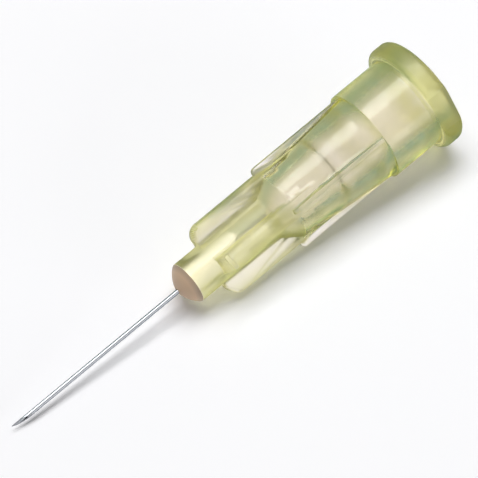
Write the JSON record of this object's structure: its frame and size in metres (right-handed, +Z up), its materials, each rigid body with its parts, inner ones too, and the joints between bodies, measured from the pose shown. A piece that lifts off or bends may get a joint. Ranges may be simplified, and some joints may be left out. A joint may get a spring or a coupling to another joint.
{
  "type": "hypodermic needle",
  "caption": "Single-use injection needle: a thin bevelled steel tube glued into a translucent yellow plastic hub with fins and a Luer lock socket.",
  "frame": {"origin": "on the surface that the needle lies on, below the middle of its length", "axes": "+Z up; the needle lies along X, with its point towards -X and the socket's mouth towards +X. At rest its own axis dips 5.7 degrees towards the point."},
  "size_m": [0.0354, 0.0078, 0.0078],
  "materials": {
    "hub_polypropylene": "moulded translucent polypropylene, soft gloss",
    "cannula_steel": "drawn and electropolished stainless tube, ground point",
    "cured_adhesive": "cured tan epoxy, satin"
  },
  "bodies": {
    "root": {"hub": "hub_polypropylene", "cannula": "cannula_steel", "adhesive": "cured_adhesive"}
  },
  "joints": []
}
